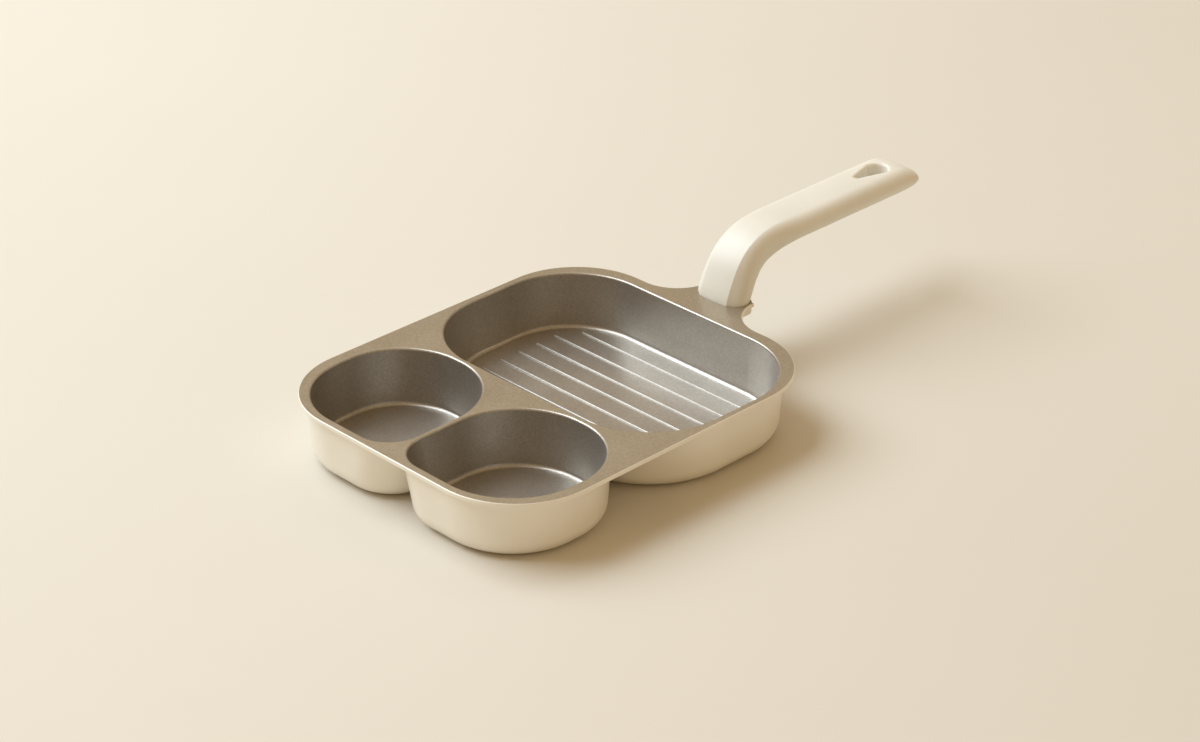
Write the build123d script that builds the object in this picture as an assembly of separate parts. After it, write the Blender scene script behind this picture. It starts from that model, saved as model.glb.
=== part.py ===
from build123d import *
import math
import os

# A divided frying pan: one cast pan with two small wells and one wide well under a
# common rim plate, and a moulded handle screwed to a tongue at the back of the rim.
# Millimetres. The pan stands on z = 0, the handle points to +Y and the origin lies
# under the centre of the rim.

# Rim plate
rim_width = 190.0
rim_length = 230.4
rim_front_radius = 48.0
rim_back_radius = 47.0
rim_thickness = 2.2
rim_edge_round = 0.7
opening_edge_round = 1.1

# Strips of rim left round and between the wells
front_strip = 5.0
back_strip = 8.0
cup_side_strip = 7.1
big_side_strip = 4.0
cup_web = 2.84
divider = 3.3
cup_length = 88.8

# Corner radii of the openings, and how much each one grows on the way down
cup_inner_front_radius = 19.4
cup_outer_front_radius = 43.0
cup_outer_back_radius = 40.0
cup_inner_back_radius = 43.1
big_front_radius = 48.9
big_back_radius = 46.6
cup_inner_front_growth = 8.0
big_front_growth = 6.0
shortest_straight = 0.5

# Depths and walls
pan_height = 36.0
floor_thickness = 3.0
wall_thickness = 2.6
wall_lean = 2.0
base_round = 10.0
floor_round = 7.0

# Raised beads on the floor of the wide well
bead_count = 8
bead_pitch = 13.7
bead_last_y = 91.5
bead_width = 3.0
bead_height = 0.9
bead_end_gap = 10.0
bead_longest_half = 75.0

# Shallow grooves that ring the flat underside of each well
groove_count = 3
groove_first_inset = 4.0
groove_pitch = 9.0
groove_width = 2.0
groove_depth = 0.5
groove_least_radius = 3.0

# Tongue and cast lug that carry the handle
tongue_half_width = 17.5
tongue_flank_radius = 24.0
tongue_end_margin = 0.8
tongue_root_radius = 1.0
lug_depth = 6.0
lug_end_radius = 6.5
lug_lean = 3.0
gusset_half_width = 13.0
gusset_drop = 19.0
gusset_reach = 4.0
tab_width = 6.0
tab_length = 9.0
tab_height = 4.0
tab_clearance = 0.25

# Handle: a bend that rises from the tongue and turns level, then a straight grip.
# Gaps are measured from the back edge of the rim.
foot_gap = 17.8
bend_end_gap = 71.8
grip_end_gap = 167.8
grip_rise = 29.0
foot_lean = 20.0
foot_lean_reach = 25.0
bend_end_reach = 38.0
bend_sections = 9
bend_waist = 1.8
bend_swell = 1.2
bend_face_swell = 0.3
foot_half_width = 16.5
foot_half_depth = 8.0
foot_face_half_width = 9.9
foot_back_half_width = 10.5
foot_crease = 38.0
grip_half_width = 15.8
grip_half_depth = 7.6
grip_face_half_width = 8.5
grip_back_half_width = 5.5
grip_crown = 0.5
curve_fullness = 0.55
tip_sections = 7
tip_length = 18.0
tip_droop = 1.5
tip_squareness = 5.0
tip_end_share = 0.97

# Hanging hole, a drop with its point towards the pan
hang_hole_radius = 6.2
hang_hole_point_radius = 1.5
hang_hole_length = 25.0
hang_hole_end_wall = 17.0
hang_hole_edge_round = 1.5

# Fixing screws, spring washers and the brass inserts moulded into the handle
screw_spacing = 16.0
screw_set_back = 1.0
screw_diameter = 4.0
screw_length = 12.0
screw_head_diameter = 8.0
screw_head_height = 2.8
screw_head_round = 0.9
screw_end_chamfer = 0.5
screw_hole_clearance = 0.5
head_hole_clearance = 1.2
driver_slot_length = 4.4
driver_slot_width = 1.0
driver_slot_depth = 1.4
washer_diameter = 7.2
washer_thickness = 0.9
washer_split = 0.8
washer_split_lean = 20.0
washer_bore_clearance = 0.3
lug_seat_thickness = 2.8
insert_diameter = 6.4
insert_length = 9.0
insert_bore_clearance = 0.2
insert_set_back = 0.3

# How far a cut runs past the surface that it opens
cut_margin = 1.0

rim_back = rim_length / 2
rim_front = -rim_length / 2
foot_y = rim_back + foot_gap
bend_end_y = rim_back + bend_end_gap
grip_end_y = rim_back + grip_end_gap
grip_z = pan_height + grip_rise


def outline(low, high, radii):
    """A rectangle between two corners whose own corners are rounded one by one,
    anticlockwise from the low corner."""
    corners = [(low[0], low[1]), (high[0], low[1]), (high[0], high[1]), (low[0], high[1])]
    return make_face(FilletPolyline(*corners, radius=radii, close=True))


def fitted(radii, width, length):
    """Corner radii, shrunk together where two of them would not fit on their side."""
    share = 1.0
    for i, side in enumerate((width, length, width, length)):
        share = min(share, (side - shortest_straight) / (radii[i] + radii[(i + 1) % len(radii)]))
    return [radius * share for radius in radii]


def well_levels(low, high, radii, growth):
    """Cavity and outer body of one well: corners and radii at the rim, each drawn in
    by the lean of the wall at a depth."""

    def level(z, wall):
        inset = wall_lean * (pan_height - z) / pan_height
        share = (pan_height - z) / pan_height
        near = (low[0] + inset - wall, low[1] + inset - wall)
        far = (high[0] - inset + wall, high[1] - inset + wall)
        wished = [max(r + g * share + wall, groove_least_radius) for r, g in zip(radii, growth)]
        corner_radii = fitted(wished, far[0] - near[0], far[1] - near[1])
        return Pos(0, 0, z) * outline(near, far, corner_radii)

    return level


def well_body(level):
    """Outside of a well: leaning walls with a rounded turn into the base."""
    body = loft([level(0, wall_thickness), level(pan_height, wall_thickness)], ruled=True)
    return fillet(body.edges().group_by(Axis.Z)[0], base_round)


def well_cavity(level):
    """Inside of a well, from the floor up through the rim."""
    top = pan_height + cut_margin
    cavity = loft([level(floor_thickness, 0), level(top, 0)], ruled=True)
    return fillet(cavity.edges().group_by(Axis.Z)[0], floor_round)


def base_grooves(level):
    """Shallow rings cut into the flat underside of a well."""
    rings = []
    for i in range(groove_count):
        outer = wall_thickness - base_round - groove_first_inset - i * groove_pitch
        ring = level(0, outer) - level(0, outer - groove_width)
        rings.append(extrude(ring, groove_depth))
    return rings


def cup_level():
    """Levels of the small well on the +X side."""
    low = (cup_web / 2, rim_front + front_strip)
    high = (rim_width / 2 - cup_side_strip, rim_front + front_strip + cup_length)
    radii = [cup_inner_front_radius, cup_outer_front_radius, cup_outer_back_radius, cup_inner_back_radius]
    growth = [cup_inner_front_growth, -wall_lean, -wall_lean, -wall_lean]
    return well_levels(low, high, radii, growth)


def big_level():
    """Levels of the wide well beside the handle."""
    half_width = rim_width / 2 - big_side_strip
    low = (-half_width, rim_front + front_strip + cup_length + divider)
    high = (half_width, rim_back - back_strip)
    radii = [big_front_radius, big_front_radius, big_back_radius, big_back_radius]
    growth = [big_front_growth, big_front_growth, -wall_lean, -wall_lean]
    return well_levels(low, high, radii, growth)


def tongue_end():
    """Plan of the lug end under the foot of the handle."""
    low = (-tongue_half_width, rim_back - lug_end_radius)
    high = (tongue_half_width, foot_y + foot_half_depth + tongue_end_margin)
    return outline(low, high, [tongue_root_radius, tongue_root_radius, lug_end_radius, lug_end_radius])


def rim_plate():
    """Rim plate with its tongue, whose flanks sweep out of the back edge in arcs, inside
    the straight part between the back corners."""
    low = (-rim_width / 2, rim_front)
    high = (rim_width / 2, rim_back)
    flank_x = tongue_half_width + tongue_flank_radius
    flank_y = rim_back + tongue_flank_radius
    back_radius = min(rim_back_radius, rim_width / 2 - flank_x - shortest_straight)
    plan = outline(low, high, [rim_front_radius, rim_front_radius, back_radius, back_radius])
    web = Pos(0, rim_back + tongue_flank_radius / 2) * Rectangle(2 * flank_x, tongue_flank_radius)
    for side in (-1, 1):
        web -= Pos(side * flank_x, flank_y) * Circle(tongue_flank_radius)
    plan = plan + web + tongue_end()
    return Pos(0, 0, pan_height - rim_thickness) * extrude(plan, rim_thickness)


def lug():
    """Thickened end of the tongue and the gusset that runs back to the wall."""
    block = Pos(0, 0, pan_height) * extrude(tongue_end(), -lug_depth, taper=lug_lean)
    bottom = pan_height - lug_depth
    inner_y = rim_back - back_strip
    gusset_y = rim_back + gusset_reach
    side = Polyline(
        (inner_y, pan_height - rim_thickness),
        (gusset_y + lug_end_radius, pan_height - rim_thickness),
        (gusset_y + lug_end_radius, bottom),
        (gusset_y, bottom),
        (inner_y, pan_height - gusset_drop),
        close=True,
    )
    wedge = extrude(Plane.YZ * make_face(side), gusset_half_width, both=True)
    return block + wedge


def locating_tab(clearance):
    """Tab on the tongue that keeps the handle square, or its pocket."""
    width = tab_width + 2 * clearance
    length = tab_length + 2 * clearance
    height = tab_height + clearance
    place = Pos(0, foot_y, pan_height)
    return place * Box(width, length, height, align=(Align.CENTER, Align.CENTER, Align.MIN))


def floor_beads():
    """Beads across the wide well, cut short where the corners close in."""
    radius = (bead_width**2 / 4 + bead_height**2) / (2 * bead_height)
    centre_z = floor_thickness + bead_height - radius
    half_width = rim_width / 2 - big_side_strip - wall_lean
    front_y = rim_front + front_strip + cup_length + divider + wall_lean
    back_y = rim_back - back_strip - wall_lean
    beads = []
    for i in range(bead_count):
        y = bead_last_y - i * bead_pitch
        front_room = corner_room(y - front_y, big_front_radius + big_front_growth)
        back_room = corner_room(back_y - y, big_back_radius - wall_lean)
        half = half_width - max(front_room, back_room) - bead_end_gap
        half = min(half, bead_longest_half)
        bead = Cylinder(radius, 2 * half)
        for side in (-1, 1):
            bead += Pos(0, 0, side * half) * Sphere(radius)
        beads.append(Pos(0, y, centre_z) * Rot(0, 90, 0) * bead)
    return beads


def corner_room(distance, radius):
    """How far a corner arc stands in from the side wall at a distance from the end."""
    if distance >= radius:
        return 0.0
    return radius - math.sqrt(radius**2 - (radius - distance) ** 2)


def screw_places():
    """Axes of the two screws, side by side under the foot."""
    return [(side * screw_spacing / 2, foot_y + screw_set_back) for side in (-1, 1)]


def screw_holes():
    """Holes through the tongue, each with a recess for its head from below."""
    seat_z = pan_height - lug_seat_thickness
    holes = []
    hole_radius = (screw_diameter + screw_hole_clearance) / 2
    recess_radius = (screw_head_diameter + head_hole_clearance) / 2
    for x, y in screw_places():
        hole = Cylinder(hole_radius, 2 * (lug_seat_thickness + cut_margin))
        recess = Cylinder(recess_radius, gusset_drop, align=(Align.CENTER, Align.CENTER, Align.MAX))
        holes.append(Pos(x, y, pan_height) * hole)
        holes.append(Pos(x, y, seat_z) * recess)
    return holes


def pan_body():
    """The casting: three wells, rim plate, tongue and lug in one piece."""
    right_cup = cup_level()
    wide = big_level()
    right_body = well_body(right_cup)
    body = rim_plate() + right_body + mirror(right_body, Plane.YZ) + well_body(wide) + lug()
    right_cavity = well_cavity(right_cup)
    for cavity in (right_cavity, mirror(right_cavity, Plane.YZ), well_cavity(wide)):
        body -= cavity
    body = round_rim(body)
    body += floor_beads()
    right_grooves = base_grooves(right_cup)
    for groove in right_grooves + [mirror(g, Plane.YZ) for g in right_grooves] + base_grooves(wide):
        body -= groove
    body -= screw_holes()
    body += locating_tab(0)
    return body


def round_rim(body):
    """Ease the edges of the openings and the outside edge of the rim plate."""
    top = body.faces().filter_by(Axis.Z).sort_by(Axis.Z)[-1]
    for wire in top.inner_wires():
        body = fillet(same_edges(body, wire), opening_edge_round)
    top = body.faces().filter_by(Axis.Z).sort_by(Axis.Z)[-1]
    return fillet(same_edges(body, top.outer_wire()), rim_edge_round)


def same_edges(body, wire):
    """Edges of the body that lie on a wire of one of its faces."""
    middles = [edge.center() for edge in wire.edges()]
    return [e for e in body.edges() if any((e.center() - m).length < 0.001 for m in middles)]


def smooth(t):
    """Blend weight that leaves 0 and reaches 1 without a kink."""
    return t * t * (3 - 2 * t)


def grip_section(plane, blend, width_share=1, depth_share=1):
    """Section of the handle square to its spine. The face side lies at low y: a flat
    band with a crease at the foot, which fades into an even oval along the grip."""

    def between(foot, grip):
        return foot + (grip - foot) * blend

    middle = 4 * blend * (1 - blend)
    half_width = width_share * (between(foot_half_width, grip_half_width) - bend_waist * middle)
    half_depth = depth_share * (between(foot_half_depth, grip_half_depth) + bend_swell * middle)
    face_x = width_share * (
        between(foot_face_half_width, grip_face_half_width) + bend_face_swell * middle
    )
    back_x = width_share * between(foot_back_half_width, grip_back_half_width)
    crown = depth_share * grip_crown
    crease = foot_crease * (1 - blend) + 2 * math.degrees(math.atan(crown / face_x))
    reach_x = curve_fullness * (half_width - face_x)
    reach_y = curve_fullness * half_depth
    turn = math.radians(crease)
    shoulder = [
        (face_x, -half_depth),
        (face_x + reach_x * math.cos(turn), -half_depth + reach_x * math.sin(turn)),
        (half_width, -reach_y),
        (half_width, 0),
    ]
    haunch = [
        (half_width, 0),
        (half_width, reach_y),
        (back_x + curve_fullness * (half_width - back_x), half_depth),
        (back_x, half_depth),
    ]
    flip = [[(-x, y) for x, y in reversed(points)] for points in (haunch, shoulder)]
    face = ThreePointArc((-face_x, -half_depth), (0, -half_depth - crown), (face_x, -half_depth))
    back = Line((back_x, half_depth), (-back_x, half_depth))
    curves = [face, Bezier(*shoulder), Bezier(*haunch), back, Bezier(*flip[0]), Bezier(*flip[1])]
    return plane * make_face(curves)


def grip_plane(y, z, lean):
    """Plane square to the spine, where lean is its turn from upright to level."""
    turn = math.radians(lean)
    return Plane(origin=(0, y, z), x_dir=(1, 0, 0), z_dir=(0, math.sin(turn), math.cos(turn)))


def grip_blank():
    """Handle without its hole and pockets: the bend, the straight grip and the tip,
    trimmed flat where the foot stands on the tongue."""
    blank = bend_loft() + straight_grip() + tip_loft()
    return split(blank, Plane.XY.offset(pan_height), keep=Keep.TOP)


def bend_spine():
    """Curve up from the tongue and over to level, in the middle plane of the pan."""
    lean = math.radians(foot_lean)
    foot_pull = (
        foot_y + foot_lean_reach * math.sin(lean),
        pan_height + foot_lean_reach * math.cos(lean),
    )
    points = [(foot_y, pan_height), foot_pull, (bend_end_y - bend_end_reach, grip_z), (bend_end_y, grip_z)]
    return Bezier(*[(0, y, z) for y, z in points])


def bend_loft():
    """Bend of the handle: its first section lies flat on the tongue, and the others
    stand square to the spine."""
    spine = bend_spine()
    sections = []
    for i in range(bend_sections):
        share = i / (bend_sections - 1)
        place = spine @ share
        along = spine % share
        lean = math.degrees(math.atan2(along.Y, along.Z)) if i else 0
        sections.append(grip_section(grip_plane(place.Y, place.Z, lean), smooth(share)))
    return loft(sections)


def straight_grip():
    """Level stretch of even section between the bend and the tip."""
    section = grip_section(grip_plane(bend_end_y, grip_z, 90), 1)
    return extrude(section, grip_end_y - tip_length - bend_end_y)


def tip_loft():
    """End of the grip: nearly square from above, thinned and drooping from the side."""
    last_turn = math.asin(tip_end_share)
    sections = []
    for i in range(tip_sections):
        share = math.sin(last_turn * i / (tip_sections - 1))
        y = grip_end_y - tip_length * (1 - share / tip_end_share)
        z = grip_z - tip_droop * share**2
        width_share = (1 - share**tip_squareness) ** (1 / tip_squareness)
        depth_share = math.sqrt(1 - share**2)
        sections.append(grip_section(grip_plane(y, z, 90), 1, width_share, depth_share))
    return loft(sections)


def hang_hole():
    """Drop-shaped hole down through the end of the grip: two circles and the flanks
    that touch both."""
    round_y = grip_end_y - hang_hole_end_wall - hang_hole_radius
    point_y = grip_end_y - hang_hole_end_wall - hang_hole_length + hang_hole_point_radius
    slant = math.asin((hang_hole_radius - hang_hole_point_radius) / (round_y - point_y))
    ends = [(hang_hole_radius, round_y), (hang_hole_point_radius, point_y)]
    drop = Sketch()
    touch = []
    for radius, y in ends:
        drop += Pos(0, y) * Circle(radius)
        touch.append((radius * math.cos(slant), y - radius * math.sin(slant)))
    left = [(-x, y) for x, y in reversed(touch)]
    drop += make_face(Polyline(*touch, *left, close=True))
    return Pos(0, 0, grip_z) * extrude(drop, 2 * grip_half_depth, both=True)


def round_hang_hole(grip):
    """Ease the upper edge of the hanging hole."""
    far_y = grip_end_y - hang_hole_end_wall
    near_y = far_y - hang_hole_length
    edges = []
    for edge in grip.edges():
        middle = edge.center()
        above = middle.Z > grip_z + grip_half_depth / 2
        along = near_y - cut_margin < middle.Y < far_y + cut_margin
        if above and along and abs(middle.X) <= hang_hole_radius:
            edges.append(edge)
    return fillet(edges, hang_hole_edge_round)


def handle_grip():
    """Moulded handle with the hanging hole and the pockets in its foot."""
    grip = round_hang_hole(grip_blank() - hang_hole())
    grip -= locating_tab(tab_clearance)
    depth = insert_length + insert_set_back
    for x, y in screw_places():
        pocket = Cylinder(insert_diameter / 2, depth, align=(Align.CENTER, Align.CENTER, Align.MIN))
        grip -= Pos(x, y, pan_height) * pocket
    return grip


def screw():
    """Pan-head screw with its head down, as seen from under the lug."""
    head_z = pan_height - lug_seat_thickness - washer_thickness
    head = Cylinder(
        screw_head_diameter / 2, screw_head_height, align=(Align.CENTER, Align.CENTER, Align.MAX)
    )
    head = fillet(head.edges().group_by(Axis.Z)[0], screw_head_round)
    for turn in (0, 90):
        slot = Box(driver_slot_length, driver_slot_width, 2 * driver_slot_depth)
        head -= Pos(0, 0, -screw_head_height) * Rot(0, 0, turn) * slot
    shank = Cylinder(
        screw_diameter / 2, screw_length, align=(Align.CENTER, Align.CENTER, Align.MIN)
    )
    shank = chamfer(shank.edges().group_by(Axis.Z)[-1], screw_end_chamfer)
    return Pos(0, 0, head_z) * (head + shank)


def washer():
    """Spring washer, a flat ring with one slanted split."""
    seat_z = pan_height - lug_seat_thickness
    bore = (screw_diameter + washer_bore_clearance) / 2
    cut_height = washer_thickness + 2 * cut_margin
    ring = Cylinder(washer_diameter / 2, washer_thickness) - Cylinder(bore, cut_height)
    split = Pos(washer_diameter / 2, 0, 0) * Rot(washer_split_lean, 0, 0)
    ring -= split * Box(washer_diameter, washer_split, cut_height)
    return Pos(0, 0, seat_z - washer_thickness / 2) * ring


def insert():
    """Brass sleeve moulded into the foot, grooved round its middle."""
    sleeve = Cylinder(
        insert_diameter / 2, insert_length, align=(Align.CENTER, Align.CENTER, Align.MIN)
    )
    bore = (screw_diameter + insert_bore_clearance) / 2
    sleeve -= Cylinder(bore, 2 * (insert_length + cut_margin))
    return Pos(0, 0, pan_height + insert_set_back) * sleeve


def in_pairs(piece):
    """The same fixing piece at each screw axis."""
    return Compound(children=[Pos(x, y, 0) * piece for x, y in screw_places()])


def main():
    nodes = {
        "pan_body": pan_body(),
        "handle_grip": handle_grip(),
        "handle_screws": in_pairs(screw()),
        "spring_washers": in_pairs(washer()),
        "threaded_inserts": in_pairs(insert()),
    }
    os.makedirs("parts", exist_ok=True)
    for name, shape in nodes.items():
        export_step(shape, f"parts/{name}.step")
        print(name, round(shape.volume, 1))


if __name__ == "__main__":
    main()
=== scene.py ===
import math
from collections import namedtuple

import bpy
from mathutils import Matrix, Vector


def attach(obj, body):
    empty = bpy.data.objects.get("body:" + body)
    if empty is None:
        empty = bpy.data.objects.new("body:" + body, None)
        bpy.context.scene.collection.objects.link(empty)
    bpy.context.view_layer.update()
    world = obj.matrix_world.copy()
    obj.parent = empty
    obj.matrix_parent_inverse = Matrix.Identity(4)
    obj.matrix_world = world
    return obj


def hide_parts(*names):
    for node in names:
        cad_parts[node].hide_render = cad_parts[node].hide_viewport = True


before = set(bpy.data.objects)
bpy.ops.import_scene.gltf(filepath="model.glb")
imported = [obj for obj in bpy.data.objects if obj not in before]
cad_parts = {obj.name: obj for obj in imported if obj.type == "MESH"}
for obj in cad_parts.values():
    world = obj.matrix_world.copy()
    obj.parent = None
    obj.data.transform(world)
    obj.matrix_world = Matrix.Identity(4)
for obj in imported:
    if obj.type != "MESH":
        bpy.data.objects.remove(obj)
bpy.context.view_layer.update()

# Sizes of the casting in millimetres, as the solids have them, and a millimetre in metres
MM = 0.001
RIM_TOP = 36.0
FLOOR = 3.0
WALL_LEAN = 2.0

# The mouth of a well in the rim: its lowest and highest corner, its corner radii from the
# front left round to the back left, and how much these grow down to the base. The left
# cup is the right one mirrored.
Well = namedtuple("Well", "low high radii growth")
CUP = Well(
    low=(1.42, -110.2),
    high=(87.9, -21.4),
    radii=(19.4, 43.0, 40.0, 43.1),
    growth=(8.0, -2.0, -2.0, -2.0),
)
WIDE = Well(
    low=(-91.0, -18.1),
    high=(91.0, 107.2),
    radii=(48.9, 48.9, 46.6, 46.6),
    growth=(6.0, 6.0, -2.0, -2.0),
)
FRONT_LEFT, FRONT_RIGHT, BACK_RIGHT, BACK_LEFT = range(4)

# Beads on the floor of the wide well, from the back one on: their middles and half lengths
BEAD_PITCH = 13.7
BEAD_LAST_Y = 91.5
BEAD_HALVES = (66.6, 75.0, 75.0, 75.0, 75.0, 75.0, 70.4, 58.0)
BEADS = [(BEAD_LAST_Y - i * BEAD_PITCH, half) for i, half in enumerate(BEAD_HALVES)]

# How much of each bead's width and height stays, and how much of the round on the floors,
# which reaches this far in and up from the corner that it rounds
BEAD_NARROWING = 0.5
BEAD_LOWERING = 0.9
FLOOR_ROUND = 7.2
FLOOR_ROUND_SHARE = 0.36

# How far a point may be off and still be taken as on the rim or a wall, the floor, a bead
EDGE_REACH = 0.7
FLOOR_REACH = 0.3
BEAD_REACH = 1.6
BEAD_SKIN = 0.01
SAME_PLACE = 0.001

# Slopes that tell faces apart: the flat rim, and the inner walls, which look up a little
FLAT = 0.9
LEAST_RISE = 0.01

# Metres: points of the CAD mesh that are one, and the card's size and its gap to the pan
MERGE_REACH = 0.000001
CARD_SIZE = 12
CARD_GAP = 0.0002

# Coats of the casting, in the order of its material slots
OUTSIDE, RIM, INSIDE, BEAD = range(4)

# Colours, each with its darker and its lighter patches
ENAMEL_COLOURS = (0.82, 0.785, 0.70), (0.86, 0.825, 0.74)
ENAMEL_PEARL = (0.90, 0.84, 0.74)
RIM_COLOURS = (0.36, 0.305, 0.225), (0.40, 0.34, 0.255)
INSIDE_COLOURS = (0.375, 0.345, 0.31), (0.435, 0.405, 0.365)
# The beads' coat is lighter than the wells' coat: painted highlight along the bead crests
BEAD_PAINTED_HIGHLIGHT_COLOURS = (0.43, 0.40, 0.36), (0.49, 0.46, 0.42)
HANDLE_COLOURS = (0.73, 0.71, 0.64), (0.77, 0.75, 0.685)
STEEL_COLOURS = (0.50, 0.50, 0.50), (0.62, 0.62, 0.61)
BRASS_COLOURS = (0.62, 0.44, 0.17), (0.74, 0.54, 0.24)
CARD_COLOURS = (0.672, 0.628, 0.55), (0.692, 0.648, 0.57)

# How far the flecks of the non-stick coat go under and over its lighter colour
FLECK_SHADE = 0.66
FLECK_GLINT = 1.45

# Values that a noise pattern hardly leaves, and closer ones, for patches with edges
NOISE_RANGE = 0.3, 0.7
CLOUD_RANGE = 0.35, 0.65

# Camera that matches the photograph
CAMERA_PLACE = (0.986263, -0.948737, 0.781849)
CAMERA_YAW = 0.782813
CAMERA_PITCH = 0.496963
CAMERA_ROLL = 0.008215
CAMERA_LENS = 89.776
CAMERA_SENSOR = 36
CAMERA_SHIFT = -0.005
CAMERA_NEAREST = 0.05

# Soft studio: a large window on the left, a lamp behind, a weak reflector on the right
LIGHTS = {
    "window": {
        "place": (-1.75, -0.85, 2.2),
        "aim": (0, 0.05, 0),
        "size": (2.5, 2.5),
        "power": 113,
        "colour": (0.78, 0.9, 1.0),
    },
    "overhead": {
        "place": (-0.9, 1.5, 2.2),
        "aim": (0, 0.05, 0),
        "size": (1.6, 1.0),
        "power": 5,
        "colour": (0.85, 0.93, 1.0),
    },
    "reflector": {
        "place": (1.5, 1.6, 0.75),
        "aim": (0, 0, 0.02),
        "size": (0.5, 1.3),
        "power": 2,
        "colour": (1.0, 0.9, 0.75),
    },
}
AIR_COLOUR = (1.0, 0.72, 0.40, 1)
AIR_STRENGTH = 0.53


def deselect_all():
    if bpy.context.mode != "OBJECT":
        bpy.ops.object.mode_set(mode="OBJECT")
    for other in bpy.context.selected_objects:
        other.select_set(False)


def take(piece):
    """Select one piece alone, ready for an operator."""
    deselect_all()
    piece.select_set(True)
    bpy.context.view_layer.objects.active = piece


class Finish:
    """A node material that is built up socket by socket."""

    def __init__(self, name):
        self.material = bpy.data.materials.new(name)
        self.material.use_nodes = True
        self.nodes = self.material.node_tree.nodes
        self.links = self.material.node_tree.links
        self.shader = self.nodes["Principled BSDF"]
        self.place = self.nodes.new("ShaderNodeTexCoord").outputs["Object"]
        self.normal = None

    def set(self, **values):
        for name, value in values.items():
            self.shader.inputs[name.replace("_", " ")].default_value = value

    def grain(self, scale, detail=2, stretch=None):
        """Noise pattern: the larger its scale, the finer it is."""
        source = self.place
        if stretch:
            mapping = self.nodes.new("ShaderNodeMapping")
            mapping.inputs["Scale"].default_value = stretch
            self.links.new(source, mapping.inputs["Vector"])
            source = mapping.outputs["Vector"]
        noise = self.nodes.new("ShaderNodeTexNoise")
        noise.inputs["Scale"].default_value = scale
        noise.inputs["Detail"].default_value = detail
        self.links.new(source, noise.inputs["Vector"])
        return noise.outputs["Fac"]

    def flecks(self, scale):
        cells = self.nodes.new("ShaderNodeTexVoronoi")
        cells.inputs["Scale"].default_value = scale
        self.links.new(self.place, cells.inputs["Vector"])
        return cells.outputs["Color"]

    def spread(self, source, span, low, high):
        """Map a pattern from the values that it spans to those between low and high."""
        ramp = self.nodes.new("ShaderNodeMapRange")
        ramp.inputs["From Min"].default_value = span[0]
        ramp.inputs["From Max"].default_value = span[1]
        ramp.inputs["To Min"].default_value = low
        ramp.inputs["To Max"].default_value = high
        self.links.new(source, ramp.inputs["Value"])
        return ramp.outputs["Result"]

    def blend(self, factor, first, second):
        mix = self.nodes.new("ShaderNodeMix")
        mix.data_type = "RGBA"
        self.links.new(factor, mix.inputs["Factor"])
        for name, colour in (("A", first), ("B", second)):
            socket = [s for s in mix.inputs if s.name == name and s.type == "RGBA"][0]
            if isinstance(colour, tuple):
                socket.default_value = (*colour, 1)
            else:
                self.links.new(colour, socket)
        return [s for s in mix.outputs if s.type == "RGBA"][0]

    def patches(self, scale, colours, span=CLOUD_RANGE):
        """Large soft patches between two colours that are close to each other."""
        cloud = self.spread(self.grain(scale, detail=3), span, 0, 1)
        return self.blend(cloud, *colours)

    def colour(self, source):
        self.links.new(source, self.shader.inputs["Base Color"])

    def roughness(self, scale, low, high, detail=4):
        """Gloss that is uneven in patches, between two roughnesses."""
        uneven = self.spread(self.grain(scale, detail), NOISE_RANGE, low, high)
        self.links.new(uneven, self.shader.inputs["Roughness"])

    def bump(self, pattern, height, strength):
        """Lay a bump over those before it. Its height is in metres."""
        node = self.nodes.new("ShaderNodeBump")
        node.inputs["Distance"].default_value = height
        node.inputs["Strength"].default_value = strength
        self.links.new(pattern, node.inputs["Height"])
        if self.normal:
            self.links.new(self.normal, node.inputs["Normal"])
        self.normal = node.outputs["Normal"]
        self.links.new(self.normal, self.shader.inputs["Normal"])


def nonstick_coat(name, colours, rough_low, rough_high):
    """Metallic non-stick coat: fine sparkle, slight orange peel, uneven gloss."""
    coat = Finish(name)
    base = coat.patches(scale=22, colours=colours)
    shade = tuple(value * FLECK_SHADE for value in colours[1])
    glint = tuple(min(1.0, value * FLECK_GLINT) for value in colours[1])
    speck = coat.spread(coat.flecks(scale=1500), (0, 1), 0, 1)
    sparkle = coat.blend(speck, shade, glint)
    amount = coat.spread(coat.grain(scale=900, detail=1), NOISE_RANGE, 0.2, 0.5)
    coat.colour(coat.blend(amount, base, sparkle))
    coat.roughness(scale=60, low=rough_low, high=rough_high)
    coat.bump(coat.grain(scale=1100), height=0.00008, strength=0.45)
    coat.bump(coat.grain(scale=320), height=0.0001, strength=0.12)
    coat.set(Metallic=0.75, Coat_Weight=0.12, Coat_Roughness=0.3)
    return coat.material


def cream_enamel():
    """Baked cream enamel of the outside: satin, with a faint pearl and orange peel."""
    paint = Finish("cream_enamel")
    base = paint.patches(scale=18, colours=ENAMEL_COLOURS)
    pearl = paint.spread(paint.flecks(scale=3200), (0.55, 1), 0, 0.22)
    paint.colour(paint.blend(pearl, base, ENAMEL_PEARL))
    paint.roughness(scale=45, low=0.30, high=0.40)
    paint.bump(paint.grain(scale=700), height=0.00008, strength=0.15)
    paint.bump(paint.grain(scale=190), height=0.00015, strength=0.10)
    paint.set(Metallic=0.12, Coat_Weight=0.25, Coat_Roughness=0.22)
    return paint.material


def handle_moulding():
    """Cream moulded handle: fine spark-eroded grain, a soft sheen, light that sinks in."""
    plastic = Finish("handle_cream_plastic")
    plastic.colour(plastic.patches(scale=14, colours=HANDLE_COLOURS))
    plastic.roughness(scale=70, low=0.42, high=0.50)
    plastic.bump(plastic.grain(scale=1300), height=0.00005, strength=0.22)
    plastic.bump(plastic.grain(scale=240), height=0.0001, strength=0.06)
    plastic.set(Specular_IOR_Level=0.5, Coat_Weight=0.25, Coat_Roughness=0.32)
    plastic.set(Subsurface_Weight=0.35, Subsurface_Scale=0.006)
    plastic.set(Subsurface_Radius=(1.0, 0.85, 0.65))
    return plastic.material


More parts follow.
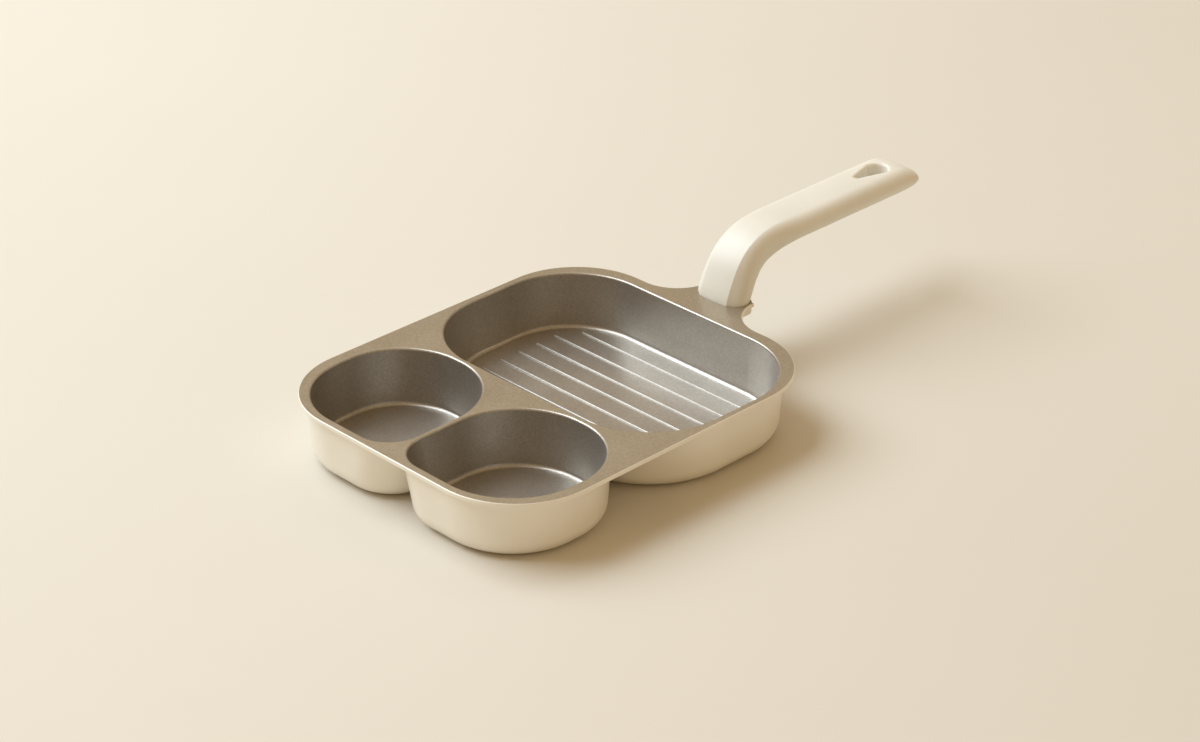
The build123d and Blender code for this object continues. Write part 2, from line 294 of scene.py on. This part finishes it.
def turned_metal(name, colours, rough_low, rough_high):
    """Turned or stamped metal with fine rings round its own axis and some wear."""
    metal = Finish(name)
    rings = metal.grain(scale=900, stretch=(0.25, 0.25, 3.0))
    metal.colour(metal.blend(metal.spread(rings, NOISE_RANGE, 0, 1), *colours))
    metal.roughness(scale=400, low=rough_low, high=rough_high, detail=3)
    metal.bump(rings, height=0.00005, strength=0.2)
    metal.bump(metal.grain(scale=2200, detail=1), height=0.00002, strength=0.2)
    metal.set(Metallic=1.0)
    return metal.material


def pale_card():
    """Pale seamless card that the pan stands on."""
    card = Finish("pale_card")
    card.colour(card.patches(scale=1.6, colours=CARD_COLOURS, span=NOISE_RANGE))
    card.roughness(scale=30, low=0.75, high=0.9, detail=3)
    card.bump(card.grain(scale=260, detail=3), height=0.0002, strength=0.1)
    return card.material


def out_of_well(well, x, y, z):
    """Distance out of a well at a height, negative inside it, and the direction that
    leads straight out of it. Down the well, the lean draws its walls in."""
    depth = (RIM_TOP - z) / RIM_TOP
    lean = WALL_LEAN * depth
    low_x, low_y = well.low[0] + lean, well.low[1] + lean
    high_x, high_y = well.high[0] - lean, well.high[1] - lean
    right = 1 if x > (low_x + high_x) / 2 else -1
    back = 1 if y > (low_y + high_y) / 2 else -1
    corner = {
        (-1, -1): FRONT_LEFT,
        (1, -1): FRONT_RIGHT,
        (1, 1): BACK_RIGHT,
        (-1, 1): BACK_LEFT,
    }[right, back]
    radius = well.radii[corner] + well.growth[corner] * depth
    beyond_x = (x - high_x if right > 0 else low_x - x) + radius
    beyond_y = (y - high_y if back > 0 else low_y - y) + radius
    if beyond_x > 0 and beyond_y > 0:
        reach = math.hypot(beyond_x, beyond_y)
        return reach - radius, right * beyond_x / reach, back * beyond_y / reach
    if beyond_x > beyond_y:
        return beyond_x - radius, right, 0
    return beyond_y - radius, 0, back


def out_of_wells(x, y, z):
    """The same for the nearest of the three wells."""
    side = -1 if x < 0 else 1
    distance, out_x, out_y = out_of_well(CUP, side * x, y, z)
    return min(out_of_well(WIDE, x, y, z), (distance, side * out_x, out_y))


def in_a_well(face):
    """True for a face on the cooking side of a well: the inner walls lean outwards and
    so look up a little, while the outside looks down."""
    x, y, z = (value / MM for value in face.center)
    if z < FLOOR - FLOOR_REACH or face.normal.z < LEAST_RISE:
        return False
    return out_of_wells(x, y, RIM_TOP)[0] < EDGE_REACH


def near_bead(point, middle, half):
    beyond_end = max(0, abs(point.x / MM) - half)
    return math.hypot(beyond_end, point.y / MM - middle) < BEAD_REACH


def beside_any_bead(point):
    return any(near_bead(point, *bead) for bead in BEADS)


def on_a_bead(point):
    above_floor = FLOOR + BEAD_SKIN < point.z / MM < FLOOR + BEAD_REACH
    return above_floor and beside_any_bead(point)


def spot(point):
    """A place rounded so that the same point is found again in the merged skin."""
    return tuple(round(value / (MM * SAME_PLACE)) for value in point)


def normals_of_solid(solid, skin):
    """Corner normals of the true surfaces, carried over to the merged skin. Beads are
    left out, because they change their shape."""
    known = {}
    for face in solid.polygons:
        corners = {}
        for corner in face.loop_indices:
            place = solid.vertices[solid.loops[corner].vertex_index].co
            corners[spot(place)] = Vector(solid.corner_normals[corner].vector)
        known[spot(face.center)] = corners
    unknown = Vector((0, 0, 0))
    normals = [unknown] * len(skin.loops)
    for face in skin.polygons:
        if on_a_bead(face.center):
            continue
        corners = known.get(spot(face.center), {})
        for corner in face.loop_indices:
            place = skin.vertices[skin.loops[corner].vertex_index].co
            normals[corner] = corners.get(spot(place), unknown)
    return normals


def narrow_beads(casting):
    """Draw each bead in to the crisp thin ridge that the photograph shows."""
    take(casting)
    bpy.ops.object.mode_set(mode="EDIT")
    bpy.ops.mesh.select_mode(type="VERT")
    for middle, half in BEADS:
        bpy.ops.mesh.select_all(action="DESELECT")
        bpy.ops.object.mode_set(mode="OBJECT")
        for vertex in casting.data.vertices:
            raised = (FLOOR - FLOOR_REACH) * MM < vertex.co.z < (FLOOR + BEAD_REACH) * MM
            vertex.select = raised and near_bead(vertex.co, middle, half)
        bpy.ops.object.mode_set(mode="EDIT")
        bpy.ops.transform.resize(
            value=(1, BEAD_NARROWING, BEAD_LOWERING),
            center_override=(0, middle * MM, FLOOR * MM),
        )
    bpy.ops.object.mode_set(mode="OBJECT")


def tighten_floor_round(casting):
    """Draw the round between floor and wall in to the crisp line that the photograph
    shows: every point of it moves towards the corner that it rounds."""
    looking_up = [v for v in casting.data.vertices if v.normal.z > LEAST_RISE]
    for vertex in looking_up:
        x, y, z = (value / MM for value in vertex.co)
        if not FLOOR - BEAD_SKIN < z < FLOOR + FLOOR_ROUND:
            continue
        distance, out_x, out_y = out_of_wells(x, y, z)
        if not -FLOOR_ROUND < distance < FLOOR_REACH or beside_any_bead(vertex.co):
            continue
        drop = (z - FLOOR) * (1 - FLOOR_ROUND_SHARE)
        move = -distance * (1 - FLOOR_ROUND_SHARE) - WALL_LEAN * drop / RIM_TOP
        vertex.co += Vector((out_x * move, out_y * move, -drop)) * MM


def coat_of(face):
    if face.center.z > (RIM_TOP - EDGE_REACH) * MM and face.normal.z > FLAT:
        return RIM
    if on_a_bead(face.center):
        return BEAD
    return INSIDE if in_a_well(face) else OUTSIDE


def coated_casting():
    """The casting as one closed skin: outside, rim, wells and beads each get their coat.
    The beads' coat is the wells' coat made lighter, a painted highlight along them.
    """
    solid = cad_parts["pan_body"]
    casting = solid.copy()
    casting.data = solid.data.copy()
    casting.name = "pan_casting"
    bpy.context.scene.collection.objects.link(casting)
    take(casting)
    bpy.ops.object.mode_set(mode="EDIT")
    bpy.ops.mesh.select_all(action="SELECT")
    bpy.ops.mesh.remove_doubles(threshold=MERGE_REACH)
    bpy.ops.object.mode_set(mode="OBJECT")
    coats = {
        OUTSIDE: cream_enamel(),
        RIM: nonstick_coat("rim_nonstick", RIM_COLOURS, 0.42, 0.50),
        INSIDE: nonstick_coat("well_nonstick", INSIDE_COLOURS, 0.30, 0.38),
        # The lighter coat on the beads is painted highlight
        BEAD: nonstick_coat("bead_nonstick_painted_highlight", BEAD_PAINTED_HIGHLIGHT_COLOURS, 0.46, 0.54),
    }
    casting.data.materials.clear()
    for slot in sorted(coats):
        casting.data.materials.append(coats[slot])
    for face in casting.data.polygons:
        face.material_index = coat_of(face)
    take(casting)
    bpy.ops.mesh.customdata_custom_splitnormals_clear()
    bpy.ops.object.shade_smooth()
    normals = normals_of_solid(solid.data, casting.data)
    narrow_beads(casting)
    tighten_floor_round(casting)
    casting.data.normals_split_custom_set(normals)
    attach(casting, "root")
    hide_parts("pan_body")


def give(node, material):
    """A solid keeps its mesh and gets a better finish."""
    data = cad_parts[node].data
    data.materials.clear()
    data.materials.append(material)


def floor():
    deselect_all()
    bpy.ops.mesh.primitive_plane_add(size=CARD_SIZE, location=(0, 0, -CARD_GAP))
    card = bpy.context.object
    bpy.ops.object.transform_apply(location=True)
    card.name = "studio_card"
    card.data.materials.append(pale_card())


def area_light(name, place, aim, size, power, colour):
    lamp = bpy.data.lights.new(name, "AREA")
    lamp.shape = "RECTANGLE"
    lamp.size, lamp.size_y = size
    lamp.energy = power
    lamp.color = colour
    holder = bpy.data.objects.new(name, lamp)
    holder.location = place
    toward = Vector(aim) - Vector(place)
    holder.rotation_euler = toward.to_track_quat("-Z", "Y").to_euler()
    bpy.context.scene.collection.objects.link(holder)


def studio():
    for name, light in LIGHTS.items():
        area_light(name, **light)
    world = bpy.data.worlds.new("studio_air")
    world.use_nodes = True
    air = world.node_tree.nodes["Background"]
    air.inputs["Color"].default_value = AIR_COLOUR
    air.inputs["Strength"].default_value = AIR_STRENGTH
    bpy.context.scene.world = world
    bpy.context.scene.view_settings.view_transform = "Standard"


def camera():
    lens = bpy.data.cameras.new("camera")
    lens.lens = CAMERA_LENS
    lens.sensor_width = CAMERA_SENSOR
    lens.shift_x = CAMERA_SHIFT
    lens.clip_start = CAMERA_NEAREST
    holder = bpy.data.objects.new("camera", lens)
    turn = (
        Matrix.Rotation(CAMERA_YAW, 4, "Z")
        @ Matrix.Rotation(math.pi / 2 - CAMERA_PITCH, 4, "X")
        @ Matrix.Rotation(CAMERA_ROLL, 4, "Z")
    )
    holder.matrix_world = Matrix.Translation(CAMERA_PLACE) @ turn
    bpy.context.scene.collection.objects.link(holder)
    bpy.context.scene.camera = holder


camera()
studio()
floor()
coated_casting()
give("handle_grip", handle_moulding())
steel = turned_metal("zinc_plated_steel", STEEL_COLOURS, 0.25, 0.40)
give("handle_screws", steel)
give("spring_washers", steel)
give("threaded_inserts", turned_metal("brass", BRASS_COLOURS, 0.2, 0.35))
